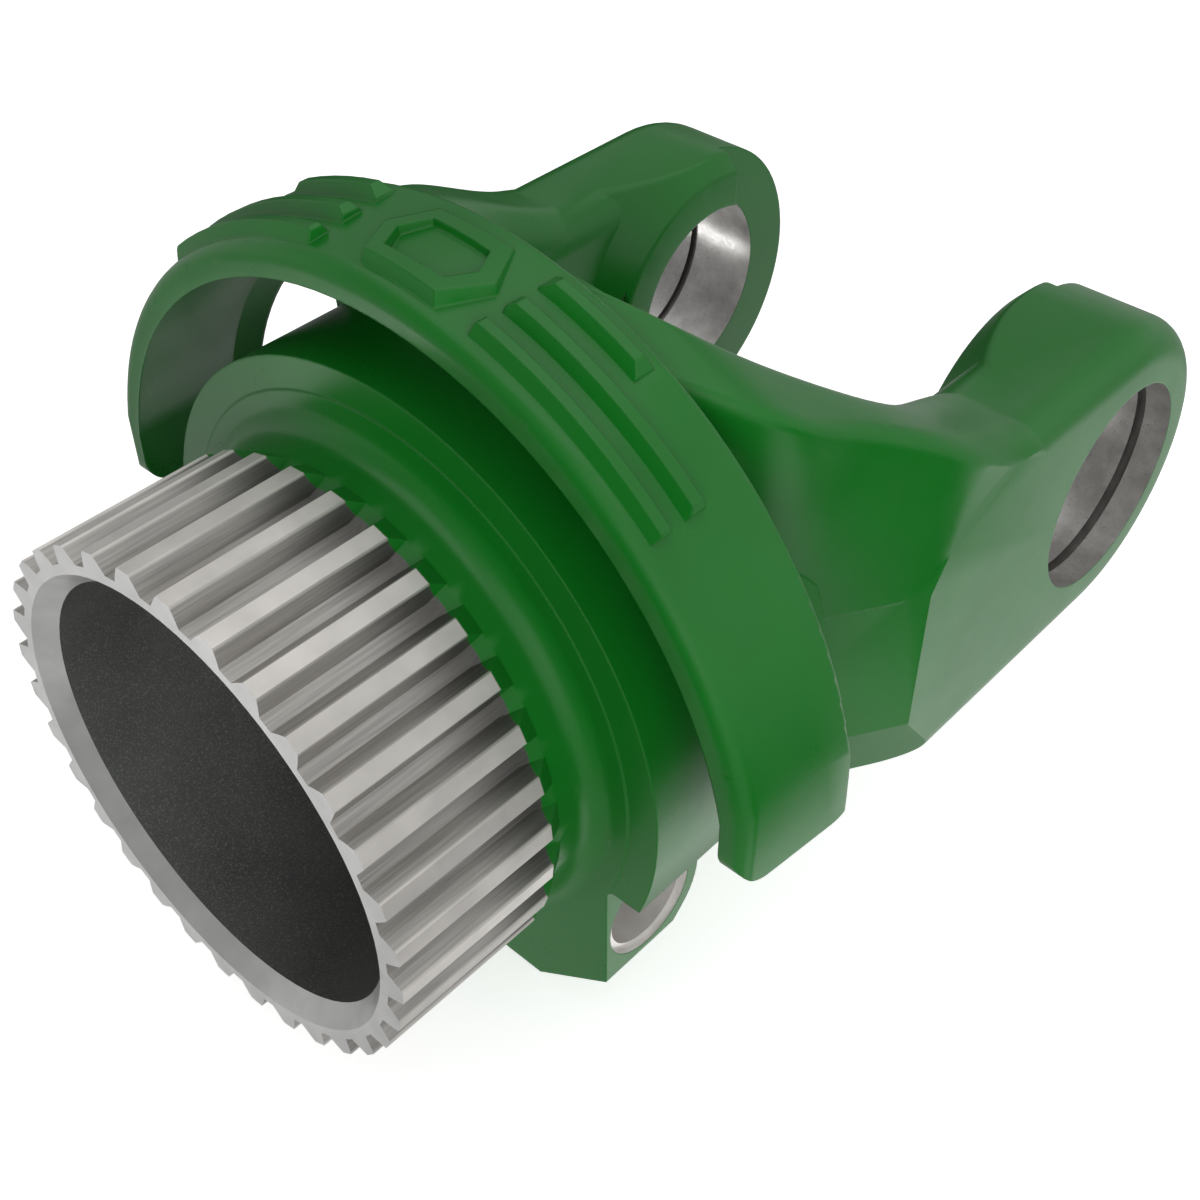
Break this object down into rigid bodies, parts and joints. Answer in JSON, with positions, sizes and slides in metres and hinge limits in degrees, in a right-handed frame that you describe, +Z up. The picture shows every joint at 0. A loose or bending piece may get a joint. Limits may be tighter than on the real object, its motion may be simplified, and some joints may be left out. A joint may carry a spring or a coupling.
{
  "type": "forged yoke",
  "caption": "Forged driveline yoke with a splined hollow stub, a bored hub under a ribbed guard band, and a fork whose ears carry cross bores.",
  "frame": {"origin": "joint centre, where the hub axis meets the axis of the two cross bores", "axes": "+X along the hub axis from the splined end towards the ears, +Y along the cross bores, +Z up through the crown of the guard band"},
  "size_m": [0.1411, 0.1064, 0.0956],
  "materials": {
    "forging": "satin green paint over forged steel; the spline, bores, bolt seats and end face are bare machined steel"
  },
  "bodies": {
    "root": {"yoke": "forging"}
  },
  "joints": []
}
